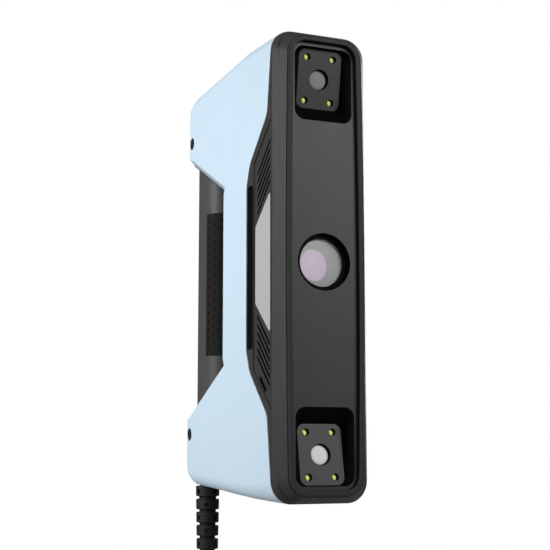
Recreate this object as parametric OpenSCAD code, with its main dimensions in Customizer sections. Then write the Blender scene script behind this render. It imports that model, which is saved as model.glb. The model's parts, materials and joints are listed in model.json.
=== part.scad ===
// Handheld structured-light scanner: two cameras and a projector in a tall front body,
// with a grip behind a hand opening, three thumb buttons and a trailing lead.
// Drawn with the front rim at y = 0 and shifted so that the origin is the grip's centre.

/* [Body] */
// Height of the body at its front end
body_h = 270; // [266:1:274]
// Width across the side covers
body_w = 63; // [62:1:66]
// Depth from the front rim to the rear edge of the side covers
cover_d = 148; // [147:1:149]
// Depth of the tapered front bezel
bezel_d = 10; // [9:0.5:11]
// Radius of the long edges, seen from the front
edge_r = 9; // [8.5:0.5:10]
// Radius of the four corners at the front end
front_r = 12.5; // [11:0.5:13]

/* [Front] */
// Width of the front rim at its middle
rim_w = 48; // [46:1:49]
// Height of the front rim
rim_h = 261; // [258:1:263]
// Width of the rim's flat edge
rim_edge = 3; // [2.5:0.1:3.2]
// Depth of the front panel below the rim
panel_drop = 3; // [2:0.5:4]
// Tilt of each camera plate towards the middle
camera_tilt = 9; // [6:1:10]
// Height of each camera above or below the middle
camera_z = 107.7; // [107:0.1:109]

/* [Grip] */
// Width of the grip
grip_w = 52; // [50:1:52]
// Depth of the grip from front to back
grip_d = 37; // [35:1:38]
// Corner radius of the grip
grip_r = 12.5; // [11:0.5:13]

/* [Buttons] */
// Diameter of the scan button
scan_button = 14; // [12:0.5:15]
// Diameter of the plus and minus buttons
side_button = 10; // [8:0.5:11]
// Height of the scan button above the middle
button_z = 66; // [62:1:70]

/* [Lead] */
// Diameter of the lead
lead = 7; // [6:0.5:7]
// Number of rings on the strain relief
relief_rings = 5; // [4:1:5]

/* [Hidden] */
$fn = 40;

origin_y = 131.5;
half_w = body_w / 2;
half_h = body_h / 2;
front_half_w = half_w - 2;
slope_start = 45;
taper = 0.05;
rear_r = 14;
side_r = 6;
bezel_z = (body_h - rim_h) / 2;
slack = 0.15;
bezel_screw_places = [for (z = [-100, -35, 35, 100]) for (s = [-1, 1]) [s * 24.6, z]];

cover_y = bezel_d + 0.8;
cover_t = 2.5;
cover_lip = 5.5;
wall = 2.5;
housing_y = bezel_d + 0.62;
spine_t = 1.6;
reveal = 0.4;
vent_floor = 1.9;
vent_face = 0.9;
badge_face = 0.3;
strip_half = 26.5;
strip_front = 17.2;
strip_end = 90;

waist_rear = 83;
shoulder_z = 51.4;
shoulder_rise = 0.49;
grip_back = 150;
grip_front = grip_back - grip_d;
grip_end = 112;

panel_t = 2.2;
plate_w = 27.4;
plate_h = 34.6;
plate_t = 2;
plate_y = 8.8;
window_w = 36.2;
window_top = 125.2;
window_low = 81.5;
lens_r = 5.4;
led_x = 8.2;
led_z = 12.6;
projector_r = 16.4;
glass_r = 14.6;
glass_y = 8;

chassis_y = 34;
chassis_t = 3;
fan = [14, 60, -62];
fan_size = 40;
fan_t = 10;
board_x = -21.5;
board_t = 1.6;

relief = [-19, 138, -128.7];
gland_r = 5;
relief_pitch = 8.3;
relief_end = relief[2] - relief_rings * relief_pitch;
coil_r = 38;
coil = [relief[0], relief[1] - coil_r - lead, -237];
coil_side = 21;
plug_top = coil[2] - 30;
plug_y = coil[1] + coil_r + 14;

function shoulder(y) = shoulder_z + shoulder_rise * (y - waist_rear);
function half_height(y) = half_h - taper * (y - bezel_d);
function corner(y) = edge_r + (front_r - edge_r) * max(0, slope_start - y) / (slope_start - bezel_d);
function arc(cx, cz, r, a0, n) = [for (i = [0:n]) [cx + r * cos(a0 + 90 * i / n), cz + r * sin(a0 + 90 * i / n)]];

// Closed outline seen from the front: bowed sides, round corners
function outline(mid, end, h, r, n = 5) =
    let (s = [for (i = [1:5]) let (t = -1 + i / 3) [mid - (mid - end) * t * t, t * (h - r)]])
    concat(
        s,
        arc(end - r, h - r, r, 0, n), arc(r - end, h - r, r, 90, n),
        [for (i = [4:-1:0]) [-s[i][0], s[i][1]]],
        arc(r - end, r - h, r, 180, n), arc(end - r, r - h, r, 270, n)
    );

// Stations [y, half width, half height] of the body, d inside its surface
function stations(d, start) =
    let (rz = rear_r - d, rx = max(side_r - d, 1), rear = cover_d - d, y0 = rear - rz)
    concat(
        [[start, front_half_w - d, half_height(start) - d], [slope_start, half_w - d, half_height(slope_start) - d]],
        [for (a = [0:22.5:90]) let (y = y0 + rz * sin(a), back = max(0, y - rear + rx))
            [y, half_w - d - rx + sqrt(rx * rx - back * back), half_height(y0) - d - rz * (1 - cos(a))]]
    );

module placed() translate([0, -origin_y, 0]) children();
module facing_front(y0, y1) translate([0, y1, 0]) rotate([90, 0, 0]) linear_extrude(y1 - y0) children();
module across(x0, x1) translate([x0, 0, 0]) rotate([90, 0, 90]) linear_extrude(x1 - x0) children();
module both_sides() { children(); mirror([1, 0, 0]) children(); }
module both_ends() { children(); mirror([0, 0, 1]) children(); }
module along_y(r, y0, y1) facing_front(y0, y1) circle(r);
module along_x(r, x0, x1) across(x0, x1) circle(r);
module round_box(w, h, r) offset(r = r) square([w - 2 * r, h - 2 * r], center = true);

// The body's full form, d inside its outer surface
module form(d, start = bezel_d)
    hull() for (s = stations(d, start))
        facing_front(s[0] - 0.01, s[0] + 0.01) polygon(outline(s[1], s[1], s[2], max(corner(s[0]) - d, 1)));

// Side outlines, y to the right and z up
module between_arms_2d() polygon([[waist_rear, -shoulder_z], [160, -shoulder(160)],
    [160, shoulder(160)], [waist_rear, shoulder_z]]);
cover_front = [[cover_y, 127], [16, 86], [37.5, 62.5], [41, 51.5], [43, 48.5]];
function mirrored(p) = [for (i = [len(p) - 1:-1:0]) [p[i][0], -p[i][1]]];
module cover_2d() offset(r = -8) offset(delta = 8) polygon(concat(
    [[cover_y, 140]], cover_front, mirrored(cover_front), [[cover_y, -140], [160, -140],
    [160, -shoulder(160)], [waist_rear, -shoulder_z], [waist_rear, shoulder_z],
    [160, shoulder(160)], [160, 140]]));
module front_zone_2d() difference() {
    translate([bezel_d, -140]) square([34, 280]);
    offset(delta = 0.5) cover_2d();
}
module grip_2d(d) translate([0, (grip_front + grip_back) / 2])
    offset(r = grip_r - d) square([grip_w - 2 * grip_r, grip_d - 2 * grip_r], center = true);
module grip_form(d) intersection() {
    translate([0, 0, d - grip_end]) linear_extrude(2 * (grip_end - d)) grip_2d(d);
    across(-40, 40) translate([grip_back - 30 - d, 0]) round_box(60, 2 * (grip_end - d), 10);
}

// Front
module front_bezel() color([0.24, 0.24, 0.25]) placed() difference() {
    hull() {
        facing_front(0, 0.02) polygon(outline(rim_w / 2, rim_w / 2 - 1.2, rim_h / 2, front_r - 1));
        facing_front(bezel_d - 0.02, bezel_d) polygon(outline(front_half_w, front_half_w, half_h, front_r));
    }
    facing_front(-1, bezel_d + 1)
        polygon(outline(rim_w / 2 - rim_edge, rim_w / 2 - rim_edge - 1.2, rim_h / 2 - rim_edge, front_r - 4));
    facing_front(panel_drop, bezel_d + 1)
        polygon(outline(rim_w / 2 - 1.8, rim_w / 2 - 3, rim_h / 2 - 1.8, front_r - 2.8));
    for (p = bezel_screw_places) translate([p[0], 0, p[1]]) along_y(1.05, panel_drop + 2, bezel_d + 1);
}

module window_2d() translate([0, (window_top + window_low) / 2]) round_box(window_w, window_top - window_low, 6);
module at_camera() translate([0, plate_y, camera_z]) rotate([camera_tilt, 0, 0]) children();
module plate_outline(d = 0) round_box(plate_w - 2 * d, plate_h - 2 * d, 4.5 - d);
module funnel() hull() {
    facing_front(panel_drop - 0.02, panel_drop) window_2d();
    at_camera() facing_front(-0.02, 0) plate_outline();
}
module window_tray() intersection() {
    facing_front(panel_drop, 18) translate([0, (window_top + window_low) / 2])
        round_box(window_w + 3, window_top - window_low + 2, 5.5);
    at_camera() facing_front(-30, plate_t + 1.2) square([90, 90], center = true);
}
module front_panel() color([0.27, 0.27, 0.28]) placed() difference() {
    union() {
        facing_front(panel_drop, panel_drop + panel_t)
            polygon(outline(rim_w / 2 - 2, rim_w / 2 - 3.2, rim_h / 2 - 2, front_r - 3));
        both_ends() window_tray();
        along_y(projector_r + 2, panel_drop, glass_y + 3);
    }
    both_ends() funnel();
    both_ends() at_camera() {
        facing_front(-1, plate_t) plate_outline(-slack);
        facing_front(plate_t - 1, 9) plate_outline(1.2);
    }
    along_y(projector_r, 0, glass_y - 2);
    along_y(glass_r - 0.8, 0, glass_y + 4);
    along_y(glass_r + slack, glass_y, glass_y + 4);
}
module front_gasket() color([0.08, 0.08, 0.08]) placed() difference() {
    facing_front(bezel_d, bezel_d + 0.6)
        polygon(outline(front_half_w - 1.6, front_half_w - 1.6, half_h - 1.6, front_r - 1.6));
    facing_front(bezel_d - 1, bezel_d + 2)
        polygon(outline(front_half_w - 3.2, front_half_w - 3.2, half_h - 3.2, front_r - 3.2));
}
module screw(r, head_r, head_h, l) rotate([90, 0, 0]) difference() {
    union() {
        cylinder(r = r, h = l);
        translate([0, 0, -head_h]) cylinder(r = head_r, h = head_h);
    }
    translate([0, 0, -head_h - 0.1]) cylinder(r = head_r * 0.5, h = head_h * 0.6, $fn = 6);
}
module bezel_screws() color("silver") placed()
    for (p = bezel_screw_places) translate([p[0], bezel_d + 2.6, p[1]]) screw(1, 1.9, 1.4, 6.6);

// Cameras
module camera_plate() color([0.12, 0.12, 0.13]) placed() at_camera() difference() {
    facing_front(0, plate_t) plate_outline();
    along_y(lens_r + 0.5, -1, 4);
    for (x = [-led_x, led_x]) for (z = [-led_z, led_z]) translate([x, 0, z]) along_y(1.8, -1, 4);
}
module camera_glass() color([0.6, 0.65, 0.7]) placed() at_camera()
    translate([0, 3.2, 0]) rotate([90, 0, 0]) rotate_extrude() intersection() {
        translate([0, -21.4]) circle(r = 24.2, $fn = 120);
        square([lens_r, 4]);
    }
module led_rings() color([0.85, 0.8, 0.2]) placed() at_camera()
    for (x = [-led_x, led_x]) for (z = [-led_z, led_z]) translate([x, 0, z]) {
        along_y(1.55, 0.9, 3.4);
        translate([0, 0.9, 0]) sphere(r = 1.2);
    }
module led_board() color([0.1, 0.35, 0.2]) placed() at_camera() difference() {
    facing_front(3.4, 4.6) round_box(24, 31, 3);
    along_y(8.6, 3, 5);
}
module camera_barrel() color([0.1, 0.1, 0.1]) placed() at_camera() difference() {
    union() {
        along_y(8, 2.6, 11);
        along_y(9.4, 11, 20);
    }
    along_y(lens_r + 0.1, 2, 6);
    along_y(4, 2, 21);
}
module camera_board() color([0.1, 0.35, 0.2]) placed() at_camera() {
    difference() {
        facing_front(20, 21.4) square([30, 25], center = true);
        for (x = [-13, 13]) for (z = [-10.5, 10.5]) translate([x, 0, z]) along_y(1.1, 19, 22);
    }
    facing_front(21.4, 23.4) square([12, 12], center = true);
}
module camera_plate_upper() camera_plate();
module camera_plate_lower() mirror([0, 0, 1]) camera_plate();
module camera_glass_upper() camera_glass();
module camera_glass_lower() mirror([0, 0, 1]) camera_glass();
module led_rings_upper() led_rings();
module led_rings_lower() mirror([0, 0, 1]) led_rings();
module led_board_upper() led_board();
module led_board_lower() mirror([0, 0, 1]) led_board();
module camera_barrel_upper() camera_barrel();
module camera_barrel_lower() mirror([0, 0, 1]) camera_barrel();
module camera_board_upper() camera_board();
module camera_board_lower() mirror([0, 0, 1]) camera_board();

// Projector
module projector_window() color([0.75, 0.8, 0.85]) placed() along_y(glass_r, glass_y, glass_y + 1.5);
module projector_lens() color([0.75, 0.6, 0.8]) placed() translate([0, 22, 0]) rotate([90, 0, 0])
    rotate_extrude() intersection() {
        translate([0, -17.6]) circle(r = 22, $fn = 120);
        square([9.5, 5]);
    }
module projector_barrel() color([0.12, 0.12, 0.12]) placed() difference() {
    union() {
        along_y(12.5, 12.4, 40);
        along_y(15, 20, 33.8);
    }
    along_y(11.4, 12, 15);
    along_y(9.6, 14, 22);
    along_y(8.2, 21, 41);
}
module projector_engine() color([0.3, 0.3, 0.32]) placed() difference() {
    facing_front(40, 66) round_box(34, 36, 2);
    along_y(7.5, 39, 44);
    for (x = [-13.5, 13.5]) for (z = [-14.5, 14.5]) translate([x, 0, z]) along_y(1.2, 60, 67);
}
module heat_sink() color("lightgray") placed() difference() {
    facing_front(66, 78) square([34, 36], center = true);
    for (x = [-14.5:4.1:15]) translate([x - 1.2, 68.5, -19]) cube([2.4, 12, 38]);
}
chassis_posts = [for (z = [-74, -28, 28, 74]) for (s = [-1, 1]) [s * 19, z]];
module chassis() color([0.7, 0.71, 0.73]) placed() difference() {
    union() {
        facing_front(chassis_y, chassis_y + chassis_t) round_box(43, 246, 4);
        for (p = chassis_posts) translate([p[0], 0, p[1]]) along_y(2, panel_drop + panel_t, chassis_y);
    }
    along_y(12.5 + slack, 30, 40);
    both_ends() translate([0, 0, camera_z - 3]) facing_front(30, 40) round_box(33, 34, 3);
    both_ends() translate([0, 0, 52]) facing_front(30, 40) round_box(26, 24, 3);
}
module chassis_screws() color("silver") placed()
    for (p = chassis_posts) translate([p[0], chassis_y + chassis_t, p[1]]) difference() {
        along_y(1.9, 0, 1.5);
        translate([0, 0.6, 0]) rotate([-90, 0, 0]) cylinder(r = 1, h = 2, $fn = 6);
    }

// Cooling and electronics
module fan_frame() color([0.1, 0.1, 0.1]) placed() translate(fan) difference() {
    across(-fan_t / 2, fan_t / 2) round_box(fan_size, fan_size, 3);
    along_x(fan_size / 2 - 1, -fan_t / 2 + 1.5, fan_t);
    difference() {
        along_x(fan_size / 2 - 1, -fan_t, 0);
        along_x(8, -fan_t, 0);
        for (a = [0:120:240]) rotate([a, 0, 0]) translate([-fan_t, -1.2, 0]) cube([fan_t, 2.4, 20]);
    }
    for (y = [-16, 16]) for (z = [-16, 16]) translate([0, y, z]) along_x(1.7, -fan_t, fan_t);
    along_x(1.5, -fan_t, fan_t);
}
module fan_rotor() color([0.16, 0.16, 0.16]) placed() translate(fan) {
    along_x(1.44, -fan_t / 2 + 0.2, -2.5);
    along_x(8, -2.6, fan_t / 2 - 0.6);
    for (a = [0:360 / 7:359]) rotate([a, 0, 0])
        translate([0.8, 7, -0.8]) rotate([0, 35, 0]) translate([-2.6, 0, -0.6]) cube([5.2, 10.4, 1.2]);
}
module main_board() color([0.05, 0.3, 0.15]) placed() difference() {
    across(board_x, board_x + board_t) translate([56, 0]) square([34, 200], center = true);
    for (y = [42, 70]) for (z = [-94, 0, 94]) translate([0, y, z]) along_x(1.6, -30, 0);
}
module board_parts() color([0.15, 0.15, 0.17]) placed() translate([board_x + board_t, 0, 0]) {
    across(0, 2.2) translate([56, 32]) square([16, 16], center = true);
    across(0, 1.8) translate([56, 62]) square([14, 14], center = true);
    across(0, 1.8) translate([50, -30]) square([12, 9], center = true);
    across(0, 1.8) translate([64, -30]) square([8, 9], center = true);
    for (z = [-84:7:-56]) translate([0, 46, z]) across(0, 2) square([4, 4], center = true);
    for (z = [80:5:90]) translate([0, 62, z]) along_x(2, 0, 2.4);
}
module board_screws() color("silver") placed() for (y = [42, 70]) for (z = [-94, 0, 94])
    translate([board_x + board_t, y, z]) rotate([0, 0, -90]) screw(1.3, 2.5, 1.5, 3.2);

// Housing
// Right half of the black strip between the side covers, seen from above
module strip_2d() polygon([[-1, bezel_d - 1], [strip_front, bezel_d - 1], [strip_front, bezel_d],
    [strip_half, strip_end], [strip_half, 160], [-1, 160]]);
module housing() difference() {
    union() {
        intersection() {
            form(cover_lip, housing_y);
            across(-40, 40) difference() {
                translate([0, -140]) square([160, 280]);
                between_arms_2d();
            }
        }
        intersection() {
            form(reveal, housing_y);
            union() {
                both_ends() translate([0, 0, 60]) linear_extrude(90) both_sides() strip_2d();
                across(-40, 40) front_zone_2d();
            }
            across(-40, 40) difference() {
                translate([0, -150]) square([200, 300]);
                between_arms_2d();
            }
        }
        grip_form(0);
    }
    intersection() {
        form(8, bezel_d - 1);
        across(-40, 40) difference() {
            translate([0, -140]) square([160, 280]);
            offset(delta = wall) between_arms_2d();
        }
    }
    intersection() {
        form(2.9, bezel_d - 1);
        across(-40, 40) offset(delta = -wall) front_zone_2d();
    }
    both_sides() across(25, 40) vent_window_2d();
    grip_form(wall);
    vent_pockets();
    facing_front(grip_back - spine_t, grip_back + 1) spine_2d(slack);
    facing_front(grip_back - 6, grip_back + 1) spine_2d(-3);
    for (p = cover_screw_places) both_sides() translate([0, p[0], p[1]]) along_x(1.1, 20, 40);
    for (p = housing_screw_places) translate([0, p[0], p[1]]) along_x(1.6, -29, 31);
    for (p = bezel_screw_places) translate([p[0], 0, p[1]]) along_y(2.2, bezel_d, 16);
    translate([0, tripod_y, -140]) rotate(50) cylinder(r = 5.5, h = 20);
}
cover_screw_places = [[139, 96], [139, -96]];
housing_screw_places = [[92, 86], [92, -86], [88, 112], [88, -112]];
tripod_y = 60;
module spine_2d(d = 0) translate([0, 8]) round_box(27 + 2 * d, 190 + 2 * d, 9 + min(d, 0));

module vent_2d() polygon([[11.5, -83], [11.5, 83], [34, 60], [34, -60]]);
module vent_window_2d() polygon([[14, -72], [14, 72], [31.5, 54], [31.5, -54]]);
module vent_pockets() {
    difference() {
        both_sides() across(20, 40) vent_2d();
        form(vent_floor);
    }
    both_sides() {
        across(front_half_w - 1, 40) translate([38.6, 0]) round_box(7.6, 96, 2);
        across(25, 40) translate([39, 0]) round_box(2.4, 92, 1);
    }
}
module half(side) intersection() {
    translate([side > 0 ? 0.02 : -50.02, 0, -150]) cube([50, 200, 300]);
    children();
}
module housing_left() color([0.2, 0.2, 0.21]) placed() difference() {
    half(-1) housing();
    translate([relief[0], relief[1], -140]) cylinder(r = gland_r + 0.2, h = 24);
    translate([relief[0], relief[1], -120.6]) cylinder(r = 6.6, h = 8);
}
module housing_right() color([0.2, 0.2, 0.21]) placed() half(1) housing();
module housing_screws() color("silver") placed() for (p = housing_screw_places)
    translate([23.1, p[0], p[1]]) difference() {
        union() {
            along_x(1.5, -48, 0);
            translate([3.5, 0, 0]) along_x(2.6, 0, 1.6);
            along_x(1.5, 0, 3.6);
        }
        translate([4.2, 0, 0]) rotate([0, 90, 0]) cylinder(r = 1.3, h = 3, $fn = 6);
    }

// Side covers
module shoulder_wedge() translate([0, waist_rear, shoulder_z]) rotate([atan(shoulder_rise), 0, 0])
    rotate([-90, 0, 0]) translate([0, 0, -3]) linear_extrude(120) polygon([
        [half_w - cover_lip, 0], [half_w + 3, -cover_lip - 3], [half_w + 3, 6], [half_w - cover_lip, 6]]);
module waist_wedge() linear_extrude(2 * shoulder_z + 2, center = true)
    polygon([[half_w - 3, waist_rear], [half_w + 1, waist_rear - 4], [half_w + 1, waist_rear + 1],
        [half_w - 3, waist_rear + 1]]);
module side_cover() color([0.72, 0.84, 0.92]) placed() difference() {
    intersection() {
        form(0);
        across(15, 40) cover_2d();
        difference() {
            translate([0, bezel_d, -150]) cube([50, 200, 300]);
            translate([0.2, 0, -150]) linear_extrude(300) strip_2d();
            form(cover_lip);
        }
    }
    intersection() {
        form(cover_t);
        across(strip_half - 1, 40) offset(delta = -cover_t - 3) cover_2d();
    }
    both_ends() shoulder_wedge();
    waist_wedge();
    for (p = cover_screw_places) translate([0, p[0], p[1]]) along_x(4, 20, 40);
}
module side_cover_right() side_cover();
module side_cover_left() mirror([1, 0, 0]) side_cover();
module cover_screws() color("silver") placed() both_sides()
    for (p = cover_screw_places) translate([0, p[0], p[1]]) difference() {
        union() {
            along_x(1, 20.5, 27);
            along_x(2.8, 26.6, 28.2);
        }
        translate([27.4, 0, 0]) rotate([0, 90, 0]) cylinder(r = 1.2, h = 2, $fn = 6);
    }
module screw_plugs() color([0.08, 0.08, 0.08]) placed() both_sides()
    for (p = cover_screw_places) translate([0, p[0], p[1]]) along_x(3.9, 28.6, half_w - 0.2);

// Vent panels and blank badges, set into the front part of each side
slot_pitch = 4.6;
module slot_2d(s, k) translate([0, s * k * slot_pitch]) polygon([
    [29.9, s * 28.4], [29.9, s * 30.6], [13.6, s * 48.1], [13.6, s * 45.9]]);
module vent() color([0.17, 0.17, 0.18]) placed() difference() {
    intersection() {
        form(vent_face);
        across(20, 40) offset(delta = -slack) vent_2d();
    }
    form(vent_floor);
    across(20, 40) {
        for (s = [-1, 1]) for (k = [0:5]) slot_2d(s, k);
        translate([22.4, -68.6]) rotate(46) square([11, 2.6], center = true);
    }
}
module vent_right() vent();
module vent_left() mirror([1, 0, 0]) vent();
module badge() color([0.67, 0.67, 0.68]) placed() difference() {
    intersection() {
        form(badge_face);
        across(20, 40) polygon([[12.4, -40.6], [12.4, 40.6], [31.4, 22.2], [31.4, -22.2]]);
    }
    form(vent_face);
}
module badge_right() badge();
module badge_left() mirror([1, 0, 0]) badge();

// Grip and thumb controls
module grip_pad() color([0.13, 0.13, 0.13]) placed()
    translate([grip_w / 2 - grip_r, grip_front + grip_r, -46]) difference() {
        intersection() {
            cylinder(r = grip_r + 0.7, h = 92);
            rotate(-90) translate([0.8, 2, 0]) cube([20, 20, 92]);
        }
        translate([0, 0, -1]) cylinder(r = grip_r, h = 94);
        for (c = [0:2]) for (k = [0:15]) if (c != 1 || k < 15)
            translate([0, 0, 5.3 + 5.45 * k + (c == 1 ? 2.7 : 0)])
                rotate([0, 90, -22 - 18 * c]) translate([0, 0, grip_r + 0.2]) cylinder(r = 0.9, h = 3, $fn = 16);
    }
module grip_pad_right() grip_pad();
module grip_pad_left() mirror([1, 0, 0]) grip_pad();
module grip_spine() color([0.15, 0.15, 0.16]) placed() difference() {
    facing_front(grip_back - spine_t, grip_back + 0.4) spine_2d();
    translate([0, 0, button_z]) along_y(scan_button / 2 + 0.35, 140, 152);
    for (s = [-1, 1]) translate([0, 0, button_z + s * button_gap])
        along_y(side_button / 2 + 0.35, 140, 152);
    translate([0, 0, button_z + 27]) facing_front(140, 152) round_box(12 + 2 * slack, 2.6 + 2 * slack, 1.2);
}
button_gap = 17.5;
module button(r, z) color([0.3, 0.3, 0.31]) placed() translate([0, 0, z]) {
    translate([0, grip_back - 2.6, 0]) rotate([-90, 0, 0]) rotate_extrude() polygon([
        [0, 0], [r + 1, 0], [r + 1, 0.8], [r, 0.8], [r, 3.6], [r - 0.6, 4.2], [0, 4]]);
    along_y(1.5, grip_back - 3.75, grip_back - 2.6);
}
module button_scan() button(scan_button / 2, button_z);
module button_plus() button(side_button / 2, button_z + button_gap);
module button_minus() button(side_button / 2, button_z - button_gap);
module status_window() color([0.4, 0.8, 0.9]) placed() translate([0, 0, button_z + 27])
    facing_front(grip_back - 4.6, grip_back + 0.5) round_box(12, 2.6, 1.2);
module button_board() color([0.05, 0.3, 0.15]) placed() difference() {
    translate([0, 0, button_z + 2]) facing_front(grip_back - 6.8, grip_back - 5.6) square([18, 66], center = true);
    for (z = [-28, 32]) translate([0, 0, button_z + z]) along_y(1.2, 140, 150);
}
module button_domes() color("silver") placed() for (s = [-1:1])
    translate([0, grip_back - 5.6, button_z + s * button_gap]) rotate([-90, 0, 0])
        cylinder(r1 = 3, r2 = 1.6, h = 1, $fn = 24);

// Tripod thread in the base
module tripod_insert() color([0.8, 0.65, 0.3]) placed() translate([0, tripod_y, 0]) difference() {
    translate([0, 0, -132]) cylinder(r = 5.4, h = 9);
    translate([0, 0, -133]) cylinder(r = 2.6, h = 9);
}

// Round section carried along a route that stays off the X direction
function unit(v) = v / norm(v);
function heading(p, k) = unit(p[min(k + 1, len(p) - 1)] - p[max(k - 1, 0)]);
function ring(c, d, r, n) = let (u = unit(cross(d, [1, 0, 0])), v = cross(d, u))
    [for (i = [0:n - 1]) c + r * cos(360 * i / n) * u + r * sin(360 * i / n) * v];
module swept(route, r, n) {
    m = len(route);
    polyhedron([for (k = [0:m - 1]) each ring(route[k], heading(route, k), r, n)], concat(
        [[for (i = [0:n - 1]) i]],
        [for (k = [0:m - 2]) for (i = [0:n - 1])
            [k * n + i, (k + 1) * n + i, (k + 1) * n + (i + 1) % n, k * n + (i + 1) % n]],
        [[for (i = [n - 1:-1:0]) (m - 1) * n + i]]));
}

// Wires from the cable gland to the main board
harness_route = [[-19, 138, -124], [-19, 138, -116], [-17.6, 134.5, -109], [-15, 127, -104], [-12.8, 116, -100],
    [-12, 104, -97], [-12, 92, -94.5], [-12.5, 80, -92], [-14, 72, -90], [-16.5, 66, -88.5], [-18, 63, -87.5]];
module wire_harness() color([0.1, 0.1, 0.1]) placed() swept(harness_route, 2.2, 10);

// Lead, from the gland to the plug
module cable_gland() color([0.1, 0.1, 0.1]) placed() translate([relief[0], relief[1], 0]) difference() {
    union() {
        translate([0, 0, -126]) cylinder(r = gland_r, h = 8);
        translate([0, 0, -120.4]) cylinder(r = 6.4, h = 2.4);
    }
    translate([0, 0, -127]) cylinder(r = 3.6, h = 14);
}
module strain_relief() color([0.12, 0.12, 0.12]) placed() translate([relief[0], relief[1], 0]) difference() {
    union() {
        translate([0, 0, relief_end]) cylinder(r1 = 4.6, r2 = 5.6, h = relief[2] - relief_end);
        translate([0, 0, relief[2] - 0.1]) cylinder(r = gland_r, h = -126 - relief[2] + 0.1);
        for (i = [0:relief_rings - 1]) translate([0, 0, relief[2] - i * relief_pitch - 6.6])
            cylinder(r1 = 7.6 - 0.16 * (i + 1), r2 = 7.6 - 0.16 * i, h = 6.6);
    }
    translate([0, 0, relief_end - 1]) cylinder(r = lead / 2, h = 60);
    for (i = [0:relief_rings - 1]) for (a = [20:90:359]) rotate(a + 45 * (i % 2))
        translate([6.2, 0, relief[2] - i * relief_pitch - 3.4]) rotate([0, 90, 0])
            cylinder(r = 1.1, h = 3, $fn = 12);
}
lead_route = [for (z = [-126, -140, -155, -170, -180, -190, -200, -210, -220, -231]) [relief[0], relief[1], z]];
module lead_tube() color([0.1, 0.1, 0.1]) placed() swept(lead_route, lead / 2 - 0.02, 10);
module lead_coil() color([0.1, 0.1, 0.1]) placed() translate(coil) rotate([0, 90, 0])
    rotate_extrude($fn = 96) translate([coil_r, 0]) round_box(coil_side, coil_side, 6);
module coil_tie() color([0.05, 0.05, 0.05]) placed() translate([coil[0], coil[1] + coil_r + 3.5, coil[2]])
    difference() {
        linear_extrude(14, center = true) round_box(coil_side + 3, coil_side + 11, 6.5);
        linear_extrude(20, center = true) round_box(coil_side + 0.4, coil_side + 8.4, 5.5);
    }
plug_place = [relief[0], plug_y, plug_top];
module plug_body() color([0.1, 0.1, 0.1]) placed() translate(plug_place) {
    translate([0, 0, -34]) linear_extrude(26) round_box(8.4, 16, 2.5);
    translate([0, 0, -8.2]) cylinder(r1 = 4.2, r2 = 3.9, h = 15.5);
}
module plug_shell() color("silver") placed() translate(plug_place) difference() {
    translate([0, 0, -46]) linear_extrude(12.2) round_box(4.5, 12, 0.6);
    translate([0, 0, -47]) linear_extrude(11) translate([0.9, 0]) square([1.9, 11.2], center = true);
}

front_bezel();
front_panel();
front_gasket();
bezel_screws();
camera_plate_upper();
camera_plate_lower();
camera_glass_upper();
camera_glass_lower();
led_rings_upper();
led_rings_lower();
led_board_upper();
led_board_lower();
camera_barrel_upper();
camera_barrel_lower();
camera_board_upper();
camera_board_lower();
projector_window();
projector_lens();
projector_barrel();
projector_engine();
heat_sink();
chassis();
chassis_screws();
fan_frame();
fan_rotor();
main_board();
board_parts();
board_screws();
housing_left();
housing_right();
housing_screws();
side_cover_left();
side_cover_right();
cover_screws();
screw_plugs();
vent_left();
vent_right();
badge_left();
badge_right();
grip_pad_left();
grip_pad_right();
grip_spine();
button_board();
button_domes();
button_scan();
button_plus();
button_minus();
status_window();
tripod_insert();
wire_harness();
cable_gland();
strain_relief();
lead_tube();
lead_coil();
coil_tie();
plug_body();
plug_shell();
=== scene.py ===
import json
import math
import bpy
import bmesh
from mathutils import Matrix, Vector


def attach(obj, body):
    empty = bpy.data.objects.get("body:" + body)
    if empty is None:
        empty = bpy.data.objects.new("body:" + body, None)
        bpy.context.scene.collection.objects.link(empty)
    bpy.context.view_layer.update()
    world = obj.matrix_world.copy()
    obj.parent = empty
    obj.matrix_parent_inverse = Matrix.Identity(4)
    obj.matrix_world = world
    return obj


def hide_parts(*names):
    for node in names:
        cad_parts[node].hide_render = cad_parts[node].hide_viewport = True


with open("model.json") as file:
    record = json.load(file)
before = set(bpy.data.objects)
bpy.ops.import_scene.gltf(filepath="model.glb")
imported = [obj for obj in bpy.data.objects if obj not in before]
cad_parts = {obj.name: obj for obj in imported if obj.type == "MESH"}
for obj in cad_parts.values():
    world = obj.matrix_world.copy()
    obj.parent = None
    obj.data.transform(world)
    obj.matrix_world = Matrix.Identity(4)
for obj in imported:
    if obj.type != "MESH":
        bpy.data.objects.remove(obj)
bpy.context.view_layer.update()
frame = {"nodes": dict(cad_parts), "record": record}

MM = 0.001
ORIGIN_Y = 131.5


def at(x, y, z):
    """A point drawn in millimetres behind the front rim, in the row frame."""
    return Vector((x * MM, (y - ORIGIN_Y) * MM, z * MM))


# ---------------------------------------------------------------- camera, floor, lights
CAMERA_PLACE, FOCAL_LENGTH = (-0.2962, -0.7402, -0.1008), 79.53
YAW, PITCH = math.radians(23.49), math.radians(7.825)
AMBIENT, SKY_TINT = 0.12, (0.95, 0.97, 1, 1)
camera_data = bpy.data.cameras.new("camera")
camera = bpy.data.objects.new("camera", camera_data)
bpy.context.collection.objects.link(camera)
camera.location = CAMERA_PLACE
camera.rotation_euler = (math.pi / 2 + PITCH, 0, -YAW)
camera_data.lens = FOCAL_LENGTH
camera_data.sensor_width = 36
camera_data.clip_start = 0.01
bpy.context.scene.camera = camera
bpy.context.scene.view_settings.view_transform = "Standard"

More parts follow.
